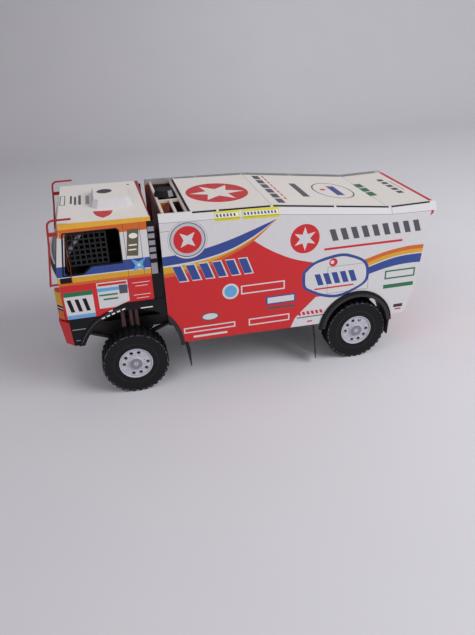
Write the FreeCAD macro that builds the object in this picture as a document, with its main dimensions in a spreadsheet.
"""Printed card model of a four-wheeled desert rally truck, 1:32, as a parametric document.

Millimetres, +X forward, +Y to the truck's left, +Z up. Lengths along X are measured from
the rear axle, and every sub-part is then placed so that the origin lies on the ground
under the middle of the truck.
"""
import FreeCAD, Part
import Sketcher
import math
import os
from types import SimpleNamespace

Vector = FreeCAD.Vector
doc = FreeCAD.newDocument("RallyTruck")


# Driving dimensions

DIMENSIONS = [
    # Wheels
    ("wheelbase", 139.0), ("tyre_radius", 19.6), ("tyre_width", 11.7), ("track_face", 37.8),
    ("tread_depth", 0.7), ("lug_width", 2.0), ("lug_skew", 1.0), ("lug_root", 0.5),
    ("rim_radius", 9.9), ("rim_wall", 0.8), ("rim_dish", 0.5), ("disc_thickness", 1.0),
    ("hand_hole_circle", 7.0), ("hand_hole_radius", 1.1), ("hub_radius", 4.1), ("hub_stand", 0.5),
    ("hub_bevel", 0.5), ("rim_lip", 0.48), ("boss_set", 2.0), ("pin_radius", 1.5),
    ("running_gap", 0.05), ("side_gap", 0.4),
    # Card
    ("card", 1.0), ("thin_card", 0.6), ("film", 0.4),
    # Axles, springs and frame
    ("beam_radius", 2.6), ("diff_radius", 5.6), ("diff_length", 9.0), ("drum_radius", 6.4),
    ("drum_width", 2.6), ("knuckle_size", 5.2), ("spring_y", 16.0), ("spring_half", 25.5),
    ("spring_leaf", 0.8), ("spring_eye", 1.2), ("spring_wide", 2.6), ("shock_radius", 1.25),
    ("shock_y", 23.2), ("shock_first", 3.8), ("shock_second", -0.9), ("shock_third", -4.2),
    ("shock_spread", 3.0), ("shock_stem", 8.0), ("shock_room", 0.2), ("seat_gap", 0.3),
    ("shaft_radius", 1.2), ("shaft_room", 0.48), ("rail_y", 12.0), ("rail_wide", 2.4),
    ("rail_low", 31.0), ("rail_high", 38.0), ("rail_rear", -29.5), ("cross_width", 5.0),
    ("cross_inset", 1.0), ("cross_one", -16.0), ("cross_two", 14.0), ("cross_three", 52.0),
    ("block_half", 10.2), ("block_low", 26.0), ("block_high", 56.0), ("gearbox_top", 44.0),
    ("gearbox_low", 35.0), ("gearbox_knee", 31.0), ("case_low", 24.5), ("case_high", 39.0),
    ("case_half", 6.5), ("case_lap", 1.0), ("case_shaft", 27.5),
    # Cab
    ("cab_inset", 0.8), ("cab_low", 37.7), ("cab_eave", 106.1), ("cab_roof_front", 108.8),
    ("cab_roof_rear", 107.9), ("roof_inset", 1.6), ("step_top", 54.6), ("sill_top", 76.3),
    ("scuttle_top", 84.0), ("glass_top", 103.2), ("bow_panel", 1.7), ("bow_glass", 5.2),
    ("bow_top", 1.2), ("glass_side", 3.4), ("glass_corner", 2.5), ("cab_floor_top", 58.2),
    ("sill_lean", 0.1), ("scuttle_fold", 4.0), ("glass_foot", 1.6), ("glass_taper", 1.0),
    ("screen_back", 8.0), ("screen_deep", 24.0), ("film_low", 0.4), ("film_high", 1.2),
    ("film_room", 0.1), ("floor_reach", 1.3),
    # Side window
    ("window_low", 80.8), ("window_sill", 84.8), ("window_high", 103.6), ("window_corner", 1.6),
    ("net_low", 84.9), ("net_high", 105.8), ("net_pitch", 2.85), ("net_strand", 0.85),
    # Side vents behind the cab door
    ("vent_low", 76.1), ("slat_high", 2.6), ("slat_last", 6.4), ("slat_pitch", 3.9),
    ("slat_top", 101.7), ("slat_rear", 0.4), ("slat_front", 0.3), ("slat_stand", 0.3),
    ("wing_rise", 10.0), ("vent_gap", 0.5),
    # Front arch
    ("arch_z", 26.0), ("arch_radius", 30.0), ("flare_wide", 3.2), ("flare_top", 60.5),
    ("flare_stand", 0.6), ("arch_deep", 13.5), ("flare_toe", 37.3), ("flare_reach", 8.0),
    ("flare_cut", 1.9), ("flare_flat", 3.0),
    # Nose
    ("bumper_deep", 4.5), ("bumper_high", 52.6), ("bumper_low", 37.8), ("bumper_rake", 1.9),
    ("bumper_corner", 4.6), ("lamp_deep", 3.3), ("lamp_high", 71.2), ("lamp_wide", 8.0),
    ("lamp_corner", 4.0), ("step_deep", 12.0), ("ledge_lip", 1.0), ("ledge_slope", 3.0),
    ("lamp_back", 0.9),
    # Guard bars
    ("bar_radius", 0.55), ("bar_top", 111.5), ("bar_foot_z", 75.6), ("bar_bend", 3.0),
    ("strut_high", 1.9), ("bar_knee", 13.6), ("bar_lean", 1.2), ("strut_drop", 8.2),
    ("strut_lap", 0.6),
    # Load body
    ("body_half", 39.6), ("body_low", 30.5), ("body_low_rear", 28.6), ("wall_front_high", 104.4),
    ("wall_fold_high", 102.4), ("wall_rear_high", 94.9), ("fold_one", 54.0), ("fold_two", -15.7),
    ("roof_end", -45.2), ("roof_slot", 1.7), ("roof_high", 107.5), ("roof_one", 106.0),
    ("roof_two", 98.0), ("roof_tail", 98.45), ("rail_proud", 1.1), ("shoulder_inset", 2.1),
    ("tail_high", -41.9), ("tail_mid", -39.5), ("tail_mid_z", 73.3), ("tail_low", -36.4),
    ("tail_low_z", 44.8), ("tail_tip", -30.4), ("floor_high", 46.2), ("rib_wide", 1.3),
    ("rib_high", 2.4), ("rib_fourth", 20.5), ("rib_tail", 3.4), ("roof_gap", 0.15),
    ("arch_room", 0.6), ("sill_inset", 2.0), ("sill_reach", 6.0), ("body_arch_z", 28.0),
    ("body_arch_radius", 31.7), ("rear_arch_x", 1.2), ("rear_arch_z", 23.6),
    ("rear_arch_radius", 20.6), ("rear_flare", 3.6), ("flare_forward", 0.7), ("flare_up", 0.5),
    ("arch_stand", 0.4), ("rear_toe", 25.2), ("flap_low", 12.4), ("rear_flap_low", 14.4),
    ("flap_set", 2.9), ("flap_sweep", 1.0), ("flap_knee", 6.8), ("flap_lap", 3.3),
    ("flap_fold", 0.5), ("flap_rise", 4.2), ("arch_lip", 1.5), ("arch_toe", 1.8),
    ("flap_inward", 10.0), ("hanger", 1.3), ("lip_reach", 2.4), ("lip_high", 94.0),
    ("lip_low", 90.3), ("tail_step", 0.4),
    # Front bay of the load body
    ("beam_wide", 1.5), ("beam_high", 1.6), ("beam_drop", 1.6), ("beam_back", 0.7),
    ("strut_y", 3.3), ("filter_y", -7.0), ("filter_radius", 6.6), ("filter_top", 109.4),
    ("filter_crown", 5.3), ("filter_neck", 3.2), ("can_gap", 0.3), ("can_y", 17.5),
    ("can_radius", 3.4), ("can_top", 101.0),
    # Roof pod
    ("pod_half", 16.4), ("pod_top", 112.9), ("pod_draft", 2.1), ("pod_corner", 3.0),
    # Inside the cab
    ("seat_wide", 15.0), ("seat_y", 20.0), ("seat_deep", 15.0), ("seat_high", 70.0),
    ("seat_back", 94.0), ("seat_shell", 3.0), ("dash_deep", 9.0), ("dash_low", 66.0),
    ("dash_high", 80.0), ("cage_bar", 1.6), ("wheel_ring", 6.8), ("wheel_wire", 0.6),
    ("column_reach", 6.0), ("dash_gap", 0.4), ("dash_slope", 3.0), ("column_drop", 5.0),
    ("column_lap", 1.0), ("seat_lean", 2.0), ("seat_lip", 1.5), ("cage_gap", 0.1),
    ("cage_foot", 2.0), ("cage_head", 13.0), ("cage_fold", 14.0), ("cage_sill", 6.0),
    ("cage_miter", 1.5),
]

# Places along the truck that follow the front axle, as distances ahead of it

FRONT_PLACES = [
    # Cab and nose
    ("cab_rear", -14.6), ("cab_wall_x", -17.0), ("roof_front", 30.5), ("nose_low", 32.6),
    ("nose_step", 34.5), ("nose_sill", 35.0), ("nose_glass", 34.7), ("nose_top", 30.8),
    ("window_front_low", 31.0), ("window_front_high", 27.6), ("window_rear", 0.4),
    ("window_step", 16.6), ("window_dip", 21.4), ("net_front", 27.4), ("net_rear", 6.8),
    ("vent_rear", -18.7), ("fender_rear", -20.7), ("arch_x", -1.0), ("bar_back", 23.1),
    ("bar_front", 35.0), ("bar_foot_x", 39.2), ("pod_front", 12.9), ("pod_rear", -10.1),
    ("seat_x", -6.0), ("cage_x", -10.0),
    # Front of the load body
    ("body_front", -21.2), ("wall_front", -24.1), ("roof_start", -39.25), ("rib_second", -54.4),
    ("body_arch_x", 3.0), ("short_strut_x", -32.8), ("filter_x", -30.4),
    # Frame and engine
    ("rail_front", 30.0), ("cross_four", -53.0), ("block_rear", -25.5), ("block_front", 19.0),
    ("block_step", -7.0), ("sump_rear", -3.0), ("gearbox_front", -19.5), ("gearbox_bend", -16.5),
    ("case_rear", -35.0),
]


class Size:
    """A length: its value, and the expression that ties it to the sheet."""

    def __init__(self, value, text):
        self.value = value
        self.text = text

    def join(self, sign, other, value):
        return Size(value, "(%s %s %s)" % (self.text, sign, size(other).text))

    def __add__(self, other):
        return self.join("+", other, self.value + size(other).value)

    def __sub__(self, other):
        return self.join("-", other, self.value - size(other).value)

    def __mul__(self, other):
        return self.join("*", other, self.value * size(other).value)

    def __truediv__(self, other):
        return self.join("/", other, self.value / size(other).value)

    def __radd__(self, other):
        return size(other) + self

    def __rsub__(self, other):
        return size(other) - self

    def __rmul__(self, other):
        return size(other) * self

    def __neg__(self):
        return Size(-self.value, "(-%s)" % self.text)


def size(number):
    """A plain number as a Size."""
    return number if isinstance(number, Size) else Size(float(number), "%.6f" % number)


def root(area):
    """The square root of a Size."""
    return Size(math.sqrt(area.value), "sqrt(%s)" % area.text)


def make_sheet():
    """The spreadsheet of driving dimensions, and a name for each of its cells."""
    sheet = doc.addObject("Spreadsheet::Sheet", "Sizes")
    names = {}
    for row, (alias, number) in enumerate(DIMENSIONS + FRONT_PLACES, start=1):
        sheet.set("A%d" % row, alias.replace("_", " "))
        sheet.set("B%d" % row, str(number))
        sheet.setAlias("B%d" % row, alias)
        names[alias] = Size(number, "Sizes." + alias)
    for alias, ahead in FRONT_PLACES:
        names[alias] = names["wheelbase"] + names[alias]
    doc.recompute()
    return SimpleNamespace(**names)


d = make_sheet()
d.cab_half = d.body_half - d.cab_inset
d.bumper_reach = d.nose_step + d.bumper_deep
d.lamp_reach = d.nose_sill + d.lamp_deep
d.roof_half = d.body_half - d.shoulder_inset - d.card - d.roof_slot
middle = (d.bar_foot_x + d.bar_radius + d.roof_end) / 2
SUBPARTS = []
PLACES = {}


# Helpers that build objects of the document

def bind(thing, **sizes):
    """Set properties of an object from the sheet."""
    for name, length in sizes.items():
        thing.setExpression(name, size(length).text)


def place(thing, x=None, y=None, z=None):
    """Bind the parts of an object's position that are given."""
    for axis, length in (("x", x), ("y", y), ("z", z)):
        if length is not None:
            thing.setExpression(".Placement.Base." + axis, size(length).text)
    if x is not None:
        PLACES[thing.Name] = size(x)


def subpart(thing, label, x=None, y=None, z=None):
    """Name a finished sub-part and place it in the truck's frame."""
    thing.Label = label
    if x is None:
        x = PLACES.get(thing.Name, size(0))
    place(thing, x=x - middle, y=y, z=z)
    SUBPARTS.append(thing)
    return thing


def block(x0, x1, y0, y1, z0, z1):
    """A box between the planes given."""
    box = doc.addObject("Part::Box", "Block")
    bind(box, Length=size(x1) - x0, Width=size(y1) - y0, Height=size(z1) - z0)
    place(box, x=x0, y=y0, z=z0)
    return box


def rod(axis, start, radius, length):
    """A round bar from a start point along X, Y or Z."""
    bar = doc.addObject("Part::Cylinder", "Rod")
    bind(bar, Radius=radius, Height=length)
    turns = {"x": (Vector(0, 1, 0), 90), "y": (Vector(1, 0, 0), -90), "z": (Vector(0, 0, 1), 0)}
    bar.Placement = FreeCAD.Placement(Vector(), FreeCAD.Rotation(*turns[axis]))
    place(bar, *start)
    return bar


def fuse(*things):
    """Solids joined into one."""
    whole = doc.addObject("Part::MultiFuse", "Whole")
    whole.Shapes = list(things)
    return whole


def cut(base, *tools):
    """A solid with the tools taken out of it, one after the other."""
    for tool in tools:
        rest = doc.addObject("Part::Cut", "Rest")
        rest.Base, rest.Tool = base, tool
        base = rest
    return base


def common(first, second):
    """What two solids share."""
    shared = doc.addObject("Part::MultiCommon", "Shared")
    shared.Shapes = [first, second]
    return shared


def group(*things):
    """Separate solids kept together as one sub-part."""
    bundle = doc.addObject("Part::Compound", "Bundle")
    bundle.Links = list(things)
    return bundle


def mirror(thing, label):
    """The same sub-part on the truck's right side."""
    other = doc.addObject("Part::Mirroring", "Mirrored")
    other.Source = thing
    other.Normal = Vector(0, 1, 0)
    other.Label = label
    SUBPARTS.append(other)
    return other


def outline(owner, points, plane=None):
    """A closed outline of straight lines whose corners are tied to the sheet."""
    if plane:
        sketch = owner.newObject("Sketcher::SketchObject", "Outline")
        planes = [item for item in owner.Origin.OriginFeatures if item.Role == plane]
        sketch.AttachmentSupport = (planes[0], "")
        sketch.MapMode = "FlatFace"
    else:
        sketch = doc.addObject("Sketcher::SketchObject", "Outline")
    corners = [(size(u), size(v)) for u, v in points]
    spots = [Vector(u.value, v.value, 0) for u, v in corners]
    count = len(spots)
    for index in range(count):
        line = Part.LineSegment(spots[index], spots[(index + 1) % count])
        sketch.addGeometry(line, False)
    for index in range(count):
        sketch.addConstraint(Sketcher.Constraint("Coincident", index, 2, (index + 1) % count, 1))
    for index, (u, v) in enumerate(corners):
        for kind, length in (("DistanceX", u), ("DistanceY", v)):
            held = Sketcher.Constraint(kind, -1, 1, index, 1, length.value)
            place_of = sketch.addConstraint(held)
            sketch.setExpression("Constraints[%d]" % place_of, length.text)
    return sketch


def new_body(name):
    """An empty body."""
    return doc.addObject("PartDesign::Body", name)


def pad(body, plane, points, start, depth):
    """A panel: an outline on a plane of the body, from start and as thick as depth."""
    sketch = outline(body, points, plane)
    sketch.setExpression(".AttachmentOffset.Base.z", size(start).text)
    feature = body.newObject("PartDesign::Pad", "Panel")
    feature.Profile = sketch
    bind(feature, Length=depth)
    doc.recompute()
    return feature


def pocket(body, plane, points, start, depth):
    """An opening: an outline cut into the body from start, against the plane's normal."""
    sketch = outline(body, points, plane)
    sketch.setExpression(".AttachmentOffset.Base.z", size(start).text)
    feature = body.newObject("PartDesign::Pocket", "Opening")
    feature.Profile = sketch
    bind(feature, Length=depth)
    before = body.Shape.Volume
    doc.recompute()
    if not body.Shape.Volume < before:
        raise ValueError("an opening in %s removed nothing" % body.Name)
    return feature


def round_corners(body, radius, chosen):
    """Round the edges of a body that the test picks by their middle point."""
    base = body.Tip
    feature = body.newObject("PartDesign::Fillet", "Rounded")
    names = []
    for number, edge in enumerate(base.Shape.Edges, start=1):
        ends = [vertex.Point for vertex in edge.Vertexes]
        if len(ends) == 2 and chosen(ends[0], ends[1]):
            names.append("Edge%d" % number)
    feature.Base = (base, names)
    bind(feature, Radius=radius)
    doc.recompute()
    return feature


def extrude(sketch, depth, direction):
    """A sketch drawn out along a direction."""
    solid = doc.addObject("Part::Extrusion", "Drawn")
    solid.Base = sketch
    solid.DirMode = "Custom"
    solid.Dir = direction
    solid.Solid = True
    bind(solid, LengthFwd=depth)
    return solid


def turn_sketch(sketch, plane, offset):
    """Stand a free sketch on the XZ, YZ or XY plane at an offset along that plane's axis."""
    turns = {
        "XZ": FreeCAD.Rotation(Vector(1, 0, 0), 90),
        "YZ": FreeCAD.Rotation(Vector(1, 1, 1), 120),
        "XY": FreeCAD.Rotation(),
    }
    sketch.Placement = FreeCAD.Placement(Vector(), turns[plane])
    key = {"XZ": "y", "YZ": "x", "XY": "z"}[plane]
    place(sketch, **{key: offset})
    return sketch


def loft(sections):
    """A solid with straight lines from each section to the next."""
    solid = doc.addObject("Part::Loft", "Lofted")
    solid.Sections = sections
    solid.Solid = True
    solid.Ruled = True
    return solid


def slab(points, y0, y1):
    """An upright panel: an outline in X and Z, between two Y planes."""
    sketch = turn_sketch(outline(doc, points), "XZ", y1)
    return extrude(sketch, size(y1) - y0, Vector(0, -1, 0))


def ring(axis_x, axis_z, inner, outer, y0, y1):
    """A flat ring or a shell about an axis along Y."""
    whole = rod("y", (axis_x, y0, axis_z), outer, size(y1) - y0)
    bore = rod("y", (axis_x, y0, axis_z), inner, size(y1) - y0)
    return cut(whole, bore)


# Wheels

def drill(body, holes):
    """Round holes through a body along Y, each with its centre's X and Z and its radius."""
    sketch = body.newObject("Sketcher::SketchObject", "Holes")
    planes = [item for item in body.Origin.OriginFeatures if item.Role == "XZ_Plane"]
    sketch.AttachmentSupport = (planes[0], "")
    sketch.MapMode = "FlatFace"
    for x, z, radius in holes:
        centre = Vector(x.value, z.value, 0)
        spot = sketch.addGeometry(Part.Circle(centre, Vector(0, 0, 1), radius.value))
        for kind, length in (("DistanceX", x), ("DistanceY", z)):
            held = sketch.addConstraint(Sketcher.Constraint(kind, -1, 1, spot, 3, length.value))
            sketch.setExpression("Constraints[%d]" % held, length.text)
        held = sketch.addConstraint(Sketcher.Constraint("Radius", spot, radius.value))
        sketch.setExpression("Constraints[%d]" % held, radius.text)
    cutter = body.newObject("PartDesign::Pocket", "Drilled")
    cutter.Profile = sketch
    cutter.Type = "ThroughAll"
    cutter.SideType = "Two sides"
    cutter.Type2 = "ThroughAll"
    doc.recompute()
    return cutter


LUG_COUNT = 34
LUG_STEP = 360.0 / LUG_COUNT


def make_tyre(label, x, y, facing):
    """A tyre of rolled card: a carcass with a flat for each lug, and lugs bent to a V."""
    body = new_body("Tyre")
    half = d.tyre_width / 2
    crown = d.tyre_radius - d.tread_depth
    corner = crown / math.cos(math.radians(LUG_STEP / 2))
    turns = [math.radians(LUG_STEP * (number + 0.5)) for number in range(LUG_COUNT)]
    carcass = [(corner * math.sin(turn), corner * math.cos(turn)) for turn in turns]
    pad(body, "XZ_Plane", carcass, -half, d.tyre_width)
    drill(body, [(size(0), size(0), d.rim_radius)])
    wide, narrow = (d.lug_width + d.lug_skew) / 2, (d.lug_width - d.lug_skew) / 2
    lug = outline(body, [
        (-narrow, -half), (wide, -half), (narrow, size(0)), (wide, half), (-narrow, half),
        (-wide, size(0))], "XY_Plane")
    lug.setExpression(".AttachmentOffset.Base.z", (crown - d.lug_root).text)
    tip = root(d.tyre_radius * d.tyre_radius - wide * wide)
    chevron = body.newObject("PartDesign::Pad", "Lug")
    chevron.Profile = lug
    bind(chevron, Length=tip - crown + d.lug_root)
    doc.recompute()
    pattern = body.newObject("PartDesign::PolarPattern", "Lugs")
    pattern.Originals = [chevron]
    axes = [item for item in body.Origin.OriginFeatures if item.Role == "Y_Axis"]
    pattern.Axis = (axes[0], [""])
    pattern.Angle = 360
    pattern.Occurrences = LUG_COUNT
    body.Tip = pattern
    doc.recompute()
    body.Placement.Rotation = FreeCAD.Rotation(Vector(0, 0, 1), facing)
    return subpart(body, label, x, y, d.tyre_radius)


# Eight hand holes stand at tenths of a turn, two places stay closed
HAND_HOLES = (0, 1, 2, 3, 5, 6, 7, 8)
HOLE_STEP = 36.0


def make_rim(label, x, y, facing):
    """A rim: a barrel closed by a holed disc, with a hub bored for the axle pin."""
    body = new_body("Rim")
    half = d.tyre_width / 2
    face = half - d.rim_dish
    back = face - d.disc_thickness
    bore = d.pin_radius + d.running_gap
    section = outline(body, [
        (-half, d.rim_radius - d.rim_wall), (back, d.rim_radius - d.rim_wall),
        (back, d.pin_radius * 2), (d.side_gap - half + d.boss_set, d.pin_radius * 2),
        (d.side_gap - half + d.boss_set, bore), (back, bore), (back, 0.0),
        (half + d.hub_stand, 0.0), (half + d.hub_stand, d.hub_radius - d.hub_bevel),
        (half + d.hub_stand - d.hub_bevel, d.hub_radius), (face, d.hub_radius),
        (face, d.rim_radius - d.rim_wall), (half, d.rim_radius - d.rim_lip),
        (half, d.rim_radius), (-half, d.rim_radius)], "YZ_Plane")
    turned = body.newObject("PartDesign::Revolution", "Barrel")
    turned.Profile = section
    turned.ReferenceAxis = (section, ["H_Axis"])
    turned.Angle = 360
    doc.recompute()
    holes = []
    for number in HAND_HOLES:
        angle = math.radians(number * HOLE_STEP)
        holes.append((d.hand_hole_circle * math.cos(angle), d.hand_hole_circle * math.sin(angle),
                      d.hand_hole_radius))
    drill(body, holes)
    body.Placement.Rotation = FreeCAD.Rotation(Vector(0, 0, 1), facing)
    return subpart(body, label, x, y, d.tyre_radius)


def make_wheels():
    """Four wheels, each a tyre on a rim, with their outer faces outwards."""
    centre = d.track_face - d.tyre_width / 2
    for end, x in (("front", d.wheelbase), ("rear", size(0))):
        for side, y, facing in (("left", centre, 0), ("right", -centre, 180)):
            make_tyre("tyre_%s_%s" % (end, side), x, y, facing)
            make_rim("rim_%s_%s" % (end, side), x, y, facing)


# Axles and springs

def pin_end():
    """Where an axle pin ends inside its hub."""
    return d.track_face - d.rim_dish - d.disc_thickness - d.side_gap


def hub_start():
    """The inner face of a wheel's hub."""
    return d.track_face - d.tyre_width + d.side_gap + d.boss_set


def make_front_axle():
    """The front beam with its axle case, and a knuckle with a pin at each end."""
    z = d.tyre_radius
    drum_out = hub_start() - d.side_gap
    drum_in = drum_out - d.drum_width
    knuckle_in = drum_in - d.knuckle_size
    beam = rod("y", (d.wheelbase, -knuckle_in, z), d.beam_radius, knuckle_in * 2)
    case = rod("y", (d.wheelbase, -d.diff_length / 2, z), d.diff_radius, d.diff_length)
    subpart(fuse(beam, case), "front_axle")
    half = d.knuckle_size / 2
    yoke = block(d.wheelbase - half, d.wheelbase + half, knuckle_in, drum_in, z - half, z + half)
    drum = rod("y", (d.wheelbase, drum_in, z), d.drum_radius, d.drum_width)
    pin = rod("y", (d.wheelbase, drum_in, z), d.pin_radius, pin_end() - drum_in)
    left = subpart(fuse(yoke, drum, pin), "front_knuckle_left")
    mirror(left, "front_knuckle_right")


def make_rear_axle():
    """The rear beam with its axle case, drums and pins."""
    z = d.tyre_radius
    zero = size(0)
    drum_out = hub_start() - d.side_gap
    drum_in = drum_out - d.drum_width
    pieces = [
        rod("y", (zero, -drum_in, z), d.beam_radius, drum_in * 2),
        rod("y", (zero, -d.diff_length / 2, z), d.diff_radius, d.diff_length),
        rod("y", (zero, drum_in, z), d.drum_radius, d.drum_width),
        rod("y", (zero, -drum_out, z), d.drum_radius, d.drum_width),
        rod("y", (zero, -pin_end(), z), d.pin_radius, pin_end() * 2)]
    subpart(fuse(*pieces), "rear_axle")


# Stations along half a spring: share of its length, share of its rise, leaves lying there
SPRING_STATIONS = [(1.0, 1.0, 1.5), (0.61, 0.62, 2.2), (0.3, 0.24, 3.2), (0.12, 0.0, 4.0)]


def leaf_spring(x, y):
    """A pack of leaves beside the rail, with its eyes at the ends, bowed down onto the beam."""
    low = d.tyre_radius + d.beam_radius
    rise = d.rail_low + d.spring_eye - low
    ends = []
    for way, stations in ((1, SPRING_STATIONS), (-1, SPRING_STATIONS[::-1])):
        ends += [(x + d.spring_half * share * way, low + rise * height, leaves)
                 for share, height, leaves in stations]
    under = [(u, v) for u, v, leaves in ends]
    upper = [(u, v + d.spring_leaf * leaves) for u, v, leaves in ends]
    return slab(under + upper[::-1], y - d.spring_wide / 2, y + d.spring_wide / 2)


def shock(x, y):
    """A telescopic shock absorber: a thick tube over a thinner stem."""
    foot = d.tyre_radius + d.beam_radius
    reach = d.block_high - foot - d.shock_stem - d.shock_room
    tube = rod("z", (x, y, foot + d.shock_stem), d.shock_radius, reach)
    stem = rod("z", (x, y, foot), d.shock_radius * 0.6, d.shock_stem)
    return fuse(tube, stem)


def make_suspension():
    """Springs and shock absorbers on both sides of each axle."""
    foot = d.tyre_radius + d.beam_radius
    front = []
    rear = []
    for side in (1, -1):
        y = d.shock_y * side
        front.append(leaf_spring(d.wheelbase, d.spring_y * side))
        for place_of in (d.shock_first, d.shock_second, d.shock_third):
            front.append(shock(d.wheelbase + place_of, y))
        rear.append(leaf_spring(size(0), d.spring_y * side))
        for x in (-d.shock_spread, d.shock_spread):
            rear.append(rod("z", (x, y, foot), d.shock_radius, d.floor_high - d.card - foot))
    subpart(group(*front), "front_suspension")
    subpart(group(*rear), "rear_suspension")


# Frame and engine

def make_frame():
    """A ladder frame: two rails and their cross members."""
    rail = block(d.rail_rear, d.rail_front, d.rail_y, d.rail_y + d.rail_wide, d.rail_low, d.rail_high)
    other = block(d.rail_rear, d.rail_front, -d.rail_y - d.rail_wide, -d.rail_y, d.rail_low,
                  d.rail_high)
    pieces = [rail, other]
    for x in (d.rail_rear, d.cross_one, d.cross_two, d.cross_three, d.cross_four,
              d.rail_front - d.cross_width):
        pieces.append(block(x, x + d.cross_width, -d.rail_y, d.rail_y, d.rail_low + d.cross_inset,
                            d.rail_high - d.cross_inset))
    subpart(fuse(*pieces), "chassis_frame")


def make_engine():
    """Engine and gearbox as one plain block, with the transfer case that hangs behind it."""
    profile = [
        (d.block_rear, d.gearbox_low), (d.gearbox_bend, d.gearbox_knee), (d.sump_rear, d.block_low),
        (d.block_front, d.block_low), (d.block_front, d.block_high), (d.block_step, d.block_high),
        (d.gearbox_front, d.gearbox_top), (d.block_rear, d.gearbox_top)]
    case = block(d.case_rear, d.block_rear + d.case_lap, -d.case_half, d.case_half, d.case_low,
                 d.case_high)
    subpart(fuse(slab(profile, -d.block_half, d.block_half), case), "engine_block")


def prop_shaft(face, axle, toward):
    """A shaft from a face of the transfer case down to an axle's case, clear of both."""
    start = face + (d.seat_gap + d.shaft_room) * toward
    run, drop = axle - start, d.tyre_radius - d.case_shaft
    span = root(run * run + drop * drop)
    bar = rod("z", (start, size(0), d.case_shaft), d.shaft_radius,
              span - d.diff_radius - d.seat_gap)
    lean = math.degrees(math.atan2(run.value, drop.value))
    bar.Placement.Rotation = FreeCAD.Rotation(Vector(0, 1, 0), lean)
    return bar


def make_prop_shafts():
    """Prop shafts to the front and the rear axle."""
    front = prop_shaft(d.block_rear + d.case_lap, d.wheelbase, 1)
    rear = prop_shaft(d.case_rear, size(0), -1)
    subpart(group(front, rear), "prop_shafts")


# Cab

def bowed_section(x, bow, z, thick):
    """An upright strip of the cab's front, bowed forward in plan, at one height."""
    sketch = doc.addObject("Sketcher::SketchObject", "Bowed")
    half = d.cab_half
    x, bow = size(x), size(bow)
    arcs = []
    for back in (size(0), thick):
        ends = [Vector((x - back).value, half.value * s, 0) for s in (1, -1)]
        crest = Vector((x - back + bow).value, 0, 0)
        arcs.append(sketch.addGeometry(Part.Arc(ends[0], crest, ends[1]), False))
    for arc, back in zip(arcs, (size(0), thick)):
        radius = (half * half + bow * bow) / (bow * 2)
        held = sketch.addConstraint(Sketcher.Constraint("Radius", arc, radius.value))
        sketch.setExpression("Constraints[%d]" % held, radius.text)
        centre = x - back + bow - radius
        held = sketch.addConstraint(Sketcher.Constraint("DistanceX", -1, 1, arc, 3, centre.value))
        sketch.setExpression("Constraints[%d]" % held, centre.text)
        sketch.addConstraint(Sketcher.Constraint("PointOnObject", arc, 3, -1))
        for end in (1, 2):
            spot = sketch.getPoint(arc, end)
            where = half if spot.y > 0 else -half
            held = sketch.addConstraint(
                Sketcher.Constraint("DistanceY", -1, 1, arc, end, where.value))
            sketch.setExpression("Constraints[%d]" % held, where.text)
    front, rear = arcs
    for end in (1, 2):
        first = sketch.getPoint(front, end)
        other = end if abs(sketch.getPoint(rear, end).y - first.y) < 1.0 else 3 - end
        second = sketch.getPoint(rear, other)
        line = sketch.addGeometry(Part.LineSegment(first, second), False)
        sketch.addConstraint(Sketcher.Constraint("Coincident", line, 1, front, end))
        sketch.addConstraint(Sketcher.Constraint("Coincident", line, 2, rear, other))
    return turn_sketch(sketch, "XY", z)


def nose_stations():
    """Heights up the cab's front, with the corner's place and the bow at each."""
    return [
        (d.nose_step, d.bow_panel, d.step_top),
        (d.nose_sill, d.bow_panel, d.sill_top),
        (d.nose_sill - d.sill_lean, d.bow_glass, d.scuttle_top - d.scuttle_fold),
        (d.nose_glass, d.bow_glass, d.scuttle_top),
        (d.nose_top, d.bow_top, d.cab_eave)]


def make_cab_front():
    """The bowed front with its windscreen opening, and the film behind it."""
    stations = nose_stations()
    sections = [bowed_section(*station, d.card) for station in stations]
    glass = [bowed_section(x - d.card, bow, z, d.film) for x, bow, z in stations[3:]]
    shell = loft(sections)
    body = new_body("ScreenCutter")
    low, high = d.scuttle_top + d.glass_foot, d.glass_top
    half = d.cab_half - d.glass_side
    pad(body, "YZ_Plane", [
        (-half, low), (half, low), (half - d.glass_taper, high), (d.glass_taper - half, high)],
        d.nose_top - d.screen_back, d.screen_deep)
    round_corners(body, d.glass_corner, lambda a, b: abs(a.x - b.x) > 10)
    subpart(cut(shell, body), "cab_front")
    edge = d.cab_half - d.card - d.film_room
    panel = block(d.nose_top - d.screen_back, d.nose_sill + d.screen_back, -edge, edge,
                  d.scuttle_top + d.film_low, d.glass_top + d.film_high)
    subpart(common(loft(glass), panel), "windscreen")


def nose_x(z):
    """How far forward the cab's corner lies at a height."""
    corners = [(d.cab_low, d.nose_low), (d.step_top, d.nose_step), (d.sill_top, d.nose_sill),
               (d.scuttle_top, d.nose_glass), (d.cab_eave, d.nose_top)]
    z = size(z)
    for (z0, x0), (z1, x1) in zip(corners, corners[1:]):
        if z.value <= z1.value:
            break
    return x0 + (x1 - x0) * (z - z0) / (z1 - z0)


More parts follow.
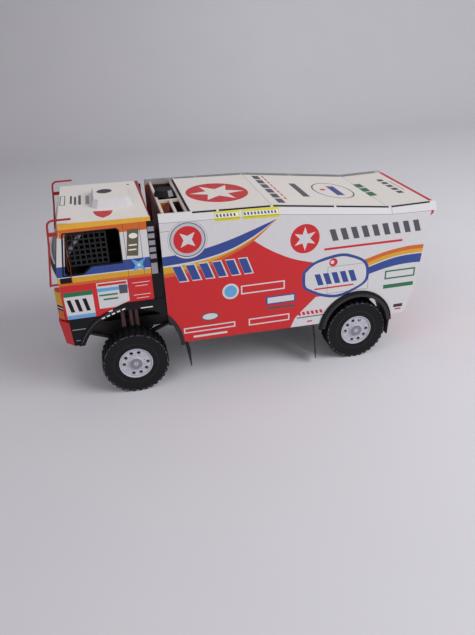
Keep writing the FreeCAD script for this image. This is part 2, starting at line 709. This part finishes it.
def make_cab_side():
    """A cab side: door and wing in one panel, with the window cut out."""
    body = new_body("CabSide")
    back = d.card
    pad(body, "XZ_Plane", [
        (d.cab_rear, d.cab_low), (d.nose_low, d.cab_low), (d.nose_step - back, d.step_top),
        (d.nose_sill - back, d.sill_top), (d.nose_glass - back, d.scuttle_top),
        (d.nose_top - back, d.cab_eave), (d.cab_rear, d.cab_eave)], -d.cab_half, d.card)
    pocket(body, "XZ_Plane", [
        (d.window_rear, d.window_sill), (d.window_step, d.window_sill),
        (d.window_dip, d.window_low), (d.window_front_low, d.window_low),
        (d.window_front_high, d.window_high), (d.window_rear, d.window_high)],
        d.card * 2 - d.cab_half, d.card * 4)
    round_corners(body, d.window_corner, lambda a, b: (
        abs(a.y - b.y) > d.card.value * 0.9
        and d.window_rear.value - 0.1 < a.x < d.window_front_low.value + 0.1
        and d.window_low.value - 0.1 < a.z < d.window_high.value + 0.1))
    wheel = rod("y", (d.arch_x, d.cab_half - d.card * 2, d.arch_z), d.arch_radius + d.card, d.card * 3)
    left = subpart(cut(body, wheel), "cab_side_left")
    mirror(left, "cab_side_right")


def make_window_net():
    """A square net that hangs inside the window from its top edge."""
    outer = d.cab_half - d.card
    inner = outer - d.thin_card
    pieces = []
    columns = int((d.net_front.value - d.net_rear.value) / d.net_pitch.value) + 1
    rows = int((d.net_high.value - d.net_low.value) / d.net_pitch.value) + 1
    for number in range(columns):
        x = d.net_rear + d.net_pitch * number
        pieces.append(block(x, x + d.net_strand, inner, outer, d.net_low, d.net_high))
    for number in range(rows):
        z = d.net_high - d.net_pitch * number - d.net_strand
        end = d.net_rear + d.net_pitch * (columns - 1) + d.net_strand
        pieces.append(block(d.net_rear, end, inner, outer, z, z + d.net_strand))
    left = subpart(fuse(*pieces), "window_net_left")
    mirror(left, "window_net_right")


SLAT_COUNT = 5
LAST_SLAT = 5.8


def make_vent():
    """The dark column behind the door with its slats, and the wing's rear end below it."""
    outer = d.cab_half
    profile = [
        (d.fender_rear, d.arch_z + d.wing_rise), (d.cab_rear, d.arch_z + d.wing_rise),
        (d.cab_rear, d.cab_eave - d.vent_gap), (d.vent_rear, d.cab_eave - d.vent_gap),
        (d.vent_rear, d.vent_low), (d.fender_rear, d.vent_low)]
    plate = slab(profile, outer - d.card, outer)
    wheel = rod("y", (d.arch_x, outer - d.card * 2, d.arch_z), d.arch_radius + d.card, d.card * 3)
    pieces = [cut(plate, wheel)]
    slats = [(d.slat_top - d.slat_pitch * number, d.slat_high / 2) for number in range(SLAT_COUNT)]
    slats.append((d.slat_top - d.slat_pitch * LAST_SLAT, d.slat_last / 2))
    for middle_z, half in slats:
        pieces.append(block(d.vent_rear + d.slat_rear, d.cab_rear - d.slat_front, outer,
                            outer + d.slat_stand, middle_z - half, middle_z + half))
    left = subpart(fuse(*pieces), "side_vent_left")
    mirror(left, "side_vent_right")


def make_front_arch():
    """A wing: a flat flare over the wheel opening, and the liner that goes inwards from it."""
    outer = d.cab_half + d.flare_stand
    crown = d.arch_radius + d.flare_wide
    disc = rod("y", (d.arch_x, d.cab_half, d.arch_z), crown, d.flare_stand)
    ahead = d.arch_x + d.flare_reach
    top = slab([(d.fender_rear, d.arch_z), (ahead, d.arch_z), (ahead, d.flare_top - d.flare_cut),
                (d.arch_x + d.flare_flat, d.flare_top), (d.fender_rear, d.flare_top)],
               d.cab_half, outer)
    flare = fuse(disc, top)
    liner = ring(d.arch_x, d.arch_z, d.arch_radius, d.arch_radius + d.card,
                 d.cab_half - d.arch_deep, outer)
    wheel = rod("y", (d.arch_x, d.cab_half - d.arch_deep, d.arch_z), d.arch_radius,
                d.arch_deep + d.card)
    keep = block(d.fender_rear, d.arch_x + crown, d.cab_half - d.arch_deep, outer, d.flare_toe,
                 d.flare_top + d.card)
    left = subpart(common(cut(fuse(flare, liner), wheel), keep), "front_arch_left")
    mirror(left, "front_arch_right")


def make_cab_step():
    """The dark box between the front wheel and the bumper, under the door."""
    outer = d.cab_half - d.card
    front = d.nose_low - d.card
    case = block(front - d.step_deep, front, outer - d.step_deep, outer, d.cab_low, d.step_top)
    wheel = rod("y", (d.arch_x, outer - d.step_deep - d.card, d.arch_z), d.arch_radius + d.card,
                d.step_deep + d.card * 2)
    left = subpart(cut(case, wheel), "cab_step_left")
    mirror(left, "cab_step_right")


def make_cab_shell():
    """Floor, rear wall and roof of the cab."""
    inside = d.cab_half - d.card
    floor_low = d.arch_z + d.arch_radius + d.card
    subpart(block(d.cab_wall_x + d.card, d.nose_step - d.floor_reach, -inside, inside, floor_low,
                  d.cab_floor_top), "cab_floor")
    subpart(block(d.cab_wall_x, d.cab_wall_x + d.card, -inside, inside, floor_low, d.cab_eave),
            "cab_rear_wall")
    sections = []
    for x, top in ((d.cab_wall_x, d.cab_roof_rear), (d.roof_front, d.cab_roof_front)):
        half, edge = d.cab_half, d.cab_half - d.roof_inset
        profile = outline(doc, [(-half, d.cab_eave), (half, d.cab_eave), (edge, top), (-edge, top)])
        sections.append(turn_sketch(profile, "YZ", x))
    inside = d.cab_half - d.roof_inset - d.card
    hollow = block(d.cab_wall_x + d.card * 2, d.roof_front - d.card * 2, -inside, inside,
                   d.cab_eave, d.cab_roof_rear - d.card)
    subpart(cut(loft(sections), hollow), "cab_roof")


POD_REAR_LEAN = 0.7
POD_CORNER_LEAN = 0.3


def make_roof_pod():
    """The raised housing on the cab roof, drawn in towards its top."""
    sections = []
    for z, draft in ((d.cab_roof_rear, size(0)), (d.pod_top, d.pod_draft)):
        x0, x1 = d.pod_rear + draft * POD_REAR_LEAN, d.pod_front - draft
        half, corner = d.pod_half - draft, d.pod_corner - draft * POD_CORNER_LEAN
        profile = outline(doc, [
            (x0 + corner, -half), (x1 - corner, -half), (x1, corner - half), (x1, half - corner),
            (x1 - corner, half), (x0 + corner, half), (x0, half - corner), (x0, corner - half)])
        sections.append(turn_sketch(profile, "XY", z))
    roof = []
    for x, top in ((d.cab_wall_x, d.cab_roof_rear), (d.roof_front, d.cab_roof_front)):
        edge = d.cab_half - d.roof_inset
        profile = outline(doc, [(-edge, d.cab_eave), (edge, d.cab_eave), (edge, top), (-edge, top)])
        roof.append(turn_sketch(profile, "YZ", x))
    subpart(cut(loft(sections), loft(roof)), "roof_pod")


# Inside the cab

def make_interior():
    """Dashboard with its steering wheel, two seats and the roll cage."""
    inside = d.cab_half - d.card - d.dash_gap
    front = d.nose_sill - d.card * 2
    dash = slab([(front - d.dash_deep, d.dash_low), (front, d.dash_low), (front, d.dash_high),
                 (front - d.dash_deep + d.dash_slope, d.dash_high),
                 (front - d.dash_deep, d.dash_high - d.dash_slope)],
                -inside, inside)
    hub = (front - d.dash_deep - d.column_reach, d.seat_y, d.dash_high - d.column_drop)
    behind = hub[0] - d.wheel_wire
    rim = rod("x", (behind, hub[1], hub[2]), d.wheel_ring + d.wheel_wire, d.wheel_wire * 2)
    inner = rod("x", (behind, hub[1], hub[2]), d.wheel_ring - d.wheel_wire, d.wheel_wire * 2)
    wheel = cut(rim, inner)
    column = rod("x", hub, d.wheel_wire, d.column_reach + d.column_lap)
    spoke = block(behind, hub[0] + d.wheel_wire, hub[1] - d.wheel_ring, hub[1] + d.wheel_ring,
                  hub[2] - d.wheel_wire, hub[2] + d.wheel_wire)
    subpart(fuse(dash, wheel, column, spoke), "dashboard")
    half = d.seat_wide / 2
    seats = []
    for side in (1, -1):
        profile = [
            (d.seat_x, d.cab_floor_top), (d.seat_x + d.seat_deep, d.cab_floor_top),
            (d.seat_x + d.seat_deep, d.seat_high),
            (d.seat_x + d.seat_shell, d.seat_high - d.seat_lip),
            (d.seat_x + d.seat_shell - d.seat_lean, d.seat_back),
            (d.seat_x - d.seat_lean, d.seat_back)]
        seats.append(slab(profile, d.seat_y * side - half, d.seat_y * side + half))
    subpart(group(*seats), "seats")
    bar = d.cage_bar
    post = d.cab_half - d.roof_inset - d.card - d.cage_gap
    top = d.cab_roof_rear - d.card
    pieces = [
        block(d.cage_x - bar, d.cage_x, post - bar, post, d.cab_floor_top, top),
        block(d.cage_x - bar, d.cage_x, -post, bar - post, d.cab_floor_top, top),
        block(d.cage_x - bar, d.cage_x, -post, post, top - bar, top),
        block(d.cage_x, d.roof_front - d.card * 3, post - bar, post, top - bar, top),
        block(d.cage_x, d.roof_front - d.card * 3, -post, bar - post, top - bar, top)]
    for side in (1, -1):
        inner, outer = sorted(((post - bar) * side, post * side), key=lambda s: s.value)
        foot, head = d.roof_front - d.cage_foot, d.roof_front - d.cage_head
        low, fold = d.scuttle_top + d.cage_sill, top - d.cage_fold
        pieces.append(slab([
            (foot - bar, low), (foot, low), (foot, fold), (head, top),
            (head - bar - d.cage_miter / 2, top), (foot - bar, fold - d.cage_miter)], inner, outer))
    subpart(fuse(*pieces), "roll_cage")


# Nose

def side_edge(z):
    """How far forward the cab side's edge lies below the fascia."""
    return d.nose_low + (d.nose_step - d.card - d.nose_low) * (z - d.cab_low) / (d.step_top - d.cab_low)


def make_bumper():
    """The front bumper: cut corners, and a face that leans back towards its foot."""
    sections = []
    for z, rake in ((d.bumper_low, d.bumper_rake), (d.bumper_high, size(0))):
        front = d.bumper_reach - rake
        back = side_edge(z)
        profile = outline(doc, [
            (back, -d.cab_half), (back, d.cab_half), (front, d.cab_half - d.bumper_corner),
            (front, d.bumper_corner - d.cab_half)])
        sections.append(turn_sketch(profile, "XY", z))
    ledge = slab([
        (side_edge(d.bumper_high), d.bumper_high), (d.bumper_reach - d.ledge_lip, d.bumper_high),
        (d.bumper_reach - d.ledge_slope, d.step_top), (side_edge(d.step_top), d.step_top)],
        d.bumper_corner - d.cab_half, d.cab_half - d.bumper_corner)
    subpart(fuse(loft(sections), ledge), "front_bumper")


def make_corner_lamp():
    """A lamp block that stands proud of the cab's corner above the bumper."""
    back = d.nose_sill
    plan = outline(doc, [
        (back, d.cab_half), (d.lamp_reach, d.cab_half - d.lamp_corner),
        (d.lamp_reach, d.cab_half - d.lamp_wide), (back + d.lamp_back, d.cab_half - d.lamp_wide)])
    left = subpart(extrude(turn_sketch(plan, "XY", d.step_top), d.lamp_high - d.step_top,
                           Vector(0, 0, 1)), "corner_lamp_left")
    mirror(left, "corner_lamp_right")


def rounded_path(points, radius):
    """A wire through the points with each corner turned by a tangent arc."""
    edges = []
    start = points[0]
    for here, there, after in zip(points, points[1:], points[2:]):
        inward = (here - there).normalize()
        outward = (after - there).normalize()
        half = inward.getAngle(outward) / 2
        reach = radius / math.tan(half)
        first, last = there + inward * reach, there + outward * reach
        middle_way = (inward + outward).normalize()
        crest = there + middle_way * (radius / math.sin(half) - radius)
        edges.append(Part.LineSegment(start, first).toShape())
        edges.append(Part.Arc(first, crest, last).toShape())
        start = last
    edges.append(Part.LineSegment(start, points[-1]).toShape())
    return Part.Wire(edges)


def make_guard_bar():
    """A wire bar bent from over the roof's corner down to the sill, with two card struts."""
    y = d.cab_half.value
    radius = d.bar_radius.value
    top, low = d.bar_top.value, d.bar_foot_z.value
    knee = top - d.bar_knee.value
    points = [
        Vector(d.bar_back.value, y, top), Vector(d.bar_front.value, y, top),
        Vector((d.bar_front + d.bar_lean).value, y, knee), Vector(d.bar_foot_x.value, y, low),
        Vector(nose_x(low).value, y, low)]
    path = rounded_path(points[:-1], d.bar_bend.value)
    foot = Part.Wire([Part.LineSegment(points[-2] + Vector(0, 0, radius), points[-1]
                                       + Vector(0, 0, radius)).toShape()])
    solids = []
    for wire in (path, foot):
        first = wire.Edges[0]
        start = first.valueAt(first.FirstParameter)
        along = first.tangentAt(first.FirstParameter)
        circle = Part.Wire([Part.Circle(start, along, radius).toShape()])
        solids.append(wire.makePipeShell([circle], True, False))
    strut_low = (d.bar_top - d.strut_drop).value
    reach = nose_x(strut_low).value
    strut = Part.makeBox((d.bar_front + d.strut_lap).value - reach, radius * 2, d.strut_high.value,
                         Vector(reach, y - radius, strut_low))
    whole = solids[0].fuse([solids[1], strut])
    bar = doc.addObject("Part::Feature", "GuardBar")
    bar.Shape = whole
    left = subpart(bar, "guard_bar_left")
    mirror(left, "guard_bar_right")


# Load body

def inside_shoulders(x, z):
    """The half width between the leaning shoulders, at a place along the bay and a height."""
    back = (d.body_front - x) / (d.body_front - d.fold_one)
    low = d.wall_front_high - (d.wall_front_high - d.wall_fold_high) * back
    crest = d.roof_high - (d.roof_high - d.roof_one) * back + d.rail_proud
    return d.body_half - d.card - d.shoulder_inset * (z - low) / (crest - low)


def side_tail(z):
    """Where the body's rear edge lies at a height above its middle corner."""
    rise = d.wall_rear_high - d.tail_step - d.tail_mid_z
    return d.tail_mid + (d.tail_high - d.tail_mid) * (z - d.tail_mid_z) / rise


def make_body_side():
    """A body side with the rear wheel opening, and the slanted shoulder folded in over it."""
    body = new_body("BodySide")
    pad(body, "XZ_Plane", [
        (d.body_front, d.body_low), (d.body_front, d.wall_front_high),
        (d.fold_one, d.wall_fold_high), (d.fold_two, d.wall_rear_high),
        (d.tail_high, d.wall_rear_high - d.tail_step), (d.tail_mid, d.tail_mid_z),
        (d.tail_low, d.tail_low_z), (d.tail_tip, d.body_low_rear)], -d.body_half, d.card)
    front = rod("y", (d.body_arch_x, d.body_half - d.card * 2, d.body_arch_z),
                d.body_arch_radius + d.card, d.card * 3)
    rear = rod("y", (d.rear_arch_x, d.body_half - d.card * 2, d.rear_arch_z),
               d.rear_arch_radius + d.card, d.card * 3)
    wall = cut(body, front, rear)
    top = [
        (d.body_front, d.wall_front_high, d.roof_high), (d.fold_one, d.wall_fold_high, d.roof_one),
        (d.fold_two, d.wall_rear_high, d.roof_two),
        (d.roof_end, d.wall_rear_high - 0.5, d.roof_tail)]
    sections = []
    for x, low, high in top:
        crest = high + d.rail_proud
        edge = d.body_half - d.shoulder_inset
        profile = outline(doc, [
            (d.body_half, low), (edge, crest), (edge - d.card, crest), (d.body_half - d.card, low)])
        sections.append(turn_sketch(profile, "YZ", x))
    left = subpart(fuse(wall, loft(sections)), "body_side_left")
    mirror(left, "body_side_right")


def roof_line(lower):
    """Points along the body's folded roof, lowered by a depth."""
    return [(d.roof_start, d.roof_high - lower), (d.fold_one, d.roof_one - lower),
            (d.fold_two, d.roof_two - lower), (d.roof_end, d.roof_tail - lower)]


def roof_z(x):
    """The height of the roof's upper face at a place along the truck."""
    stations = roof_line(0)
    x = size(x)
    for (x0, z0), (x1, z1) in zip(stations, stations[1:]):
        if x.value >= x1.value:
            break
    return z0 + (z1 - z0) * (x - x0) / (x1 - x0)


def make_body_roof():
    """The folded roof panel, and the ribs under it whose tabs rise beside it to the shoulders."""
    body = new_body("BodyRoof")
    pad(body, "XZ_Plane", roof_line(0) + roof_line(d.card)[::-1], -d.roof_half, d.roof_half * 2)
    subpart(body, "body_roof")
    reach = d.body_half - d.shoulder_inset - d.card
    seat = d.roof_half + d.roof_gap
    ribs = []
    for x in (d.roof_start - d.rib_wide, d.rib_second, d.fold_one, d.rib_fourth, d.fold_two,
              d.roof_end + d.rib_tail):
        low = roof_z(x) - d.card - d.rib_high
        high = roof_z(x) - d.card - d.roof_gap * 2
        top = roof_z(x)
        rib = turn_sketch(outline(doc, [
            (-reach, low), (reach, low), (reach, top), (seat, top), (seat, high), (-seat, high),
            (-seat, top), (-reach, top)]), "YZ", x)
        ribs.append(extrude(rib, d.rib_wide, Vector(1, 0, 0)))
    subpart(group(*ribs), "roof_ribs")


def make_body_ends():
    """Front wall, bay wall, rear wall and floor of the load body."""
    inside = d.body_half - d.card
    deep = d.body_half - d.arch_deep - d.roof_gap
    reach = d.body_arch_radius + d.card + d.arch_room
    low = d.floor_high - d.card
    ahead = d.body_arch_x - d.wall_front
    foot = d.body_arch_z + root(reach * reach - ahead * ahead)
    front = new_body("FrontWall")
    high = d.roof_high - d.beam_drop - d.beam_high
    top = inside_shoulders(d.wall_front - d.card, high)
    pad(front, "YZ_Plane", [
        (-inside, foot), (-deep, foot), (-deep, d.floor_high), (deep, d.floor_high), (deep, foot),
        (inside, foot), (inside, d.wall_fold_high), (top, high), (-top, high),
        (-inside, d.wall_fold_high)], d.wall_front - d.card, d.card)
    subpart(front, "body_front_wall")
    rear_of_bay = d.roof_start - d.rib_wide
    subpart(block(rear_of_bay - d.card, rear_of_bay, -inside, inside, d.floor_high,
                  d.wall_fold_high), "bay_wall")
    tail = slab([
        (d.tail_high, d.wall_rear_high - d.tail_step), (d.tail_high - d.lip_reach, d.lip_high),
        (d.tail_high - d.lip_reach * 0.8, (d.lip_high + d.lip_low) / 2),
        (side_tail(d.lip_low), d.lip_low),
        (d.tail_mid, d.tail_mid_z), (d.tail_low, d.tail_low_z),
        (d.tail_tip, d.body_low_rear), (d.tail_tip + d.card, d.body_low_rear),
        (d.tail_low + d.card, d.tail_low_z), (d.tail_mid + d.card, d.tail_mid_z),
        (d.tail_high + d.card, d.wall_rear_high - d.tail_step)], -inside, inside)
    subpart(tail, "body_rear_wall")
    notch = d.body_arch_x - root(reach * reach - (low - d.body_arch_z) * (low - d.body_arch_z))
    floor = new_body("Floor")
    start = d.tail_low + d.card
    pad(floor, "XY_Plane", [
        (start, -inside), (notch, -inside), (notch, -deep), (d.wall_front - d.card, -deep),
        (d.wall_front - d.card, deep), (notch, deep), (notch, inside), (start, inside)],
        low, d.card)
    subpart(floor, "body_floor")
    sills = []
    for inner in (d.rail_y, -d.rail_y - d.rail_wide):
        sills.append(block(d.rail_rear + d.sill_inset, d.roof_start + d.sill_reach, inner,
                           inner + d.rail_wide, d.rail_high, low))
    subpart(group(*sills), "body_sills")


def make_bay():
    """The open bay at the body's front: beams, struts, the air filter and a canister."""
    high = d.roof_high - d.beam_drop
    low = high - d.beam_high
    back = d.roof_start + d.beam_back
    reach = inside_shoulders(back, high)
    rear = block(back, back + d.beam_wide, -reach, reach, low, high)
    front = block(d.wall_front - d.beam_wide, d.wall_front, -reach, reach, low, high)
    cross = block(back + d.beam_wide, d.wall_front - d.beam_wide, d.strut_y - d.beam_wide / 2,
                  d.strut_y + d.beam_wide / 2, low, high)
    short = block(d.short_strut_x, d.short_strut_x + d.beam_wide, d.strut_y, reach, low, high)
    subpart(fuse(rear, front, cross, short), "bay_frame")
    neck = rod("z", (d.filter_x, d.filter_y, d.floor_high), d.filter_neck, high - d.floor_high)
    rings = []
    for z, radius in ((high, d.filter_radius), (d.filter_top, d.filter_crown)):
        points = [(d.filter_x + radius * math.cos(math.radians(30 * n + 15)),
                   d.filter_y + radius * math.sin(math.radians(30 * n + 15))) for n in range(12)]
        rings.append(turn_sketch(outline(doc, points), "XY", z))
    subpart(fuse(neck, loft(rings)), "air_filter")
    can_x = d.wall_front - d.card - d.can_gap - d.can_radius
    subpart(rod("z", (can_x, d.can_y, d.floor_high), d.can_radius, d.can_top - d.floor_high),
            "canister")


def make_body_arches():
    """Arch trims with their liners and the mud flaps that hang from them."""
    outer = d.body_half + d.arch_stand
    inner = d.body_half - d.arch_deep
    wall = d.body_half - d.card
    liner = ring(d.body_arch_x, d.body_arch_z, d.body_arch_radius, d.body_arch_radius + d.card,
                 inner, wall)
    flange = ring(d.body_arch_x, d.body_arch_z, d.body_arch_radius - d.arch_lip,
                  d.body_arch_radius + d.card, wall, outer)
    toe = d.body_low - d.arch_toe
    keep = block(d.body_arch_x - d.body_arch_radius - d.card * 2, d.body_front, inner, outer,
                 toe, d.body_arch_z + d.body_arch_radius)
    heel = d.body_arch_x - d.body_arch_radius
    hang = heel - d.flap_set
    foot = hang - d.flap_sweep
    spine = [
        (heel, d.body_low + d.flap_lap), (hang, d.body_low + d.flap_fold), (hang, toe),
        (foot, d.body_low - d.flap_knee), (foot, d.flap_low)]
    half = d.thin_card / 2
    sheet = slab([(x + half, z) for x, z in spine] + [(x - half, z) for x, z in spine[::-1]],
                 inner - d.flap_inward, wall)
    slant = turn_sketch(outline(doc, [
        (inner - d.flap_inward, d.flap_low - d.card), (wall, d.flap_low - d.card),
        (wall, d.flap_low), (inner - d.flap_inward, d.flap_low + d.flap_rise)]), "YZ", foot - d.card)
    flap = cut(sheet, extrude(slant, d.card * 2, Vector(1, 0, 0)))
    arch = common(fuse(liner, flange), keep)
    left = subpart(fuse(arch, flap), "front_flap_left")
    mirror(left, "front_flap_right")

    crown = d.rear_arch_radius + d.rear_flare
    x, z = d.rear_arch_x, d.rear_arch_z
    disc = rod("y", (x + d.flare_forward, d.body_half, z + d.flare_up), crown, d.arch_stand * 1.5)
    opening = rod("y", (x, inner, z), d.rear_arch_radius, outer - inner + d.arch_stand)
    liner = rod("y", (x, inner, z), d.rear_arch_radius + d.card, d.body_half - inner)
    keep = block(x - crown, x + crown + d.flare_forward, inner, outer + d.arch_stand, d.rear_toe,
                 z + crown + d.flare_up)
    heel = x - d.rear_arch_radius
    back = heel - d.hanger - d.card
    hanging = slab([
        (back, d.rear_toe + d.card), (heel - d.card * 0.3, d.rear_toe + d.card),
        (heel - d.card * 0.3, d.rear_toe), (heel - d.hanger, d.rear_toe - d.card),
        (heel - d.thin_card - d.arch_stand, d.rear_flap_low),
        (heel - d.thin_card * 2 - d.arch_stand, d.rear_flap_low)], inner, outer - d.arch_stand * 2)
    arch = common(cut(fuse(disc, liner), opening), keep)
    left = subpart(fuse(arch, hanging), "rear_arch_left")
    mirror(left, "rear_arch_right")


def check_and_export():
    """Stop if anything failed, then write each sub-part to its own file."""
    doc.recompute()
    for thing in doc.Objects:
        if "Invalid" in thing.State or "Error" in thing.State:
            raise ValueError("%s failed: %s" % (thing.Label, thing.State))
    os.makedirs("parts", exist_ok=True)
    for thing in SUBPARTS:
        shape = thing.Shape
        if shape.isNull() or not shape.isValid() or not shape.Solids:
            raise ValueError("%s has no valid solid" % thing.Label)
        shape.exportStep("parts/%s.step" % thing.Label)
        print("%-22s solids %d  faces %4d  volume %9.1f" % (
            thing.Label, len(shape.Solids), len(shape.Faces), shape.Volume))


make_wheels()
make_front_axle()
make_rear_axle()
make_suspension()
make_frame()
make_engine()
make_prop_shafts()
make_cab_front()
make_cab_side()
make_window_net()
make_vent()
make_front_arch()
make_cab_step()
make_cab_shell()
make_roof_pod()
make_interior()
make_bumper()
make_corner_lamp()
make_guard_bar()
make_body_side()
make_body_roof()
make_body_ends()
make_bay()
make_body_arches()
check_and_export()
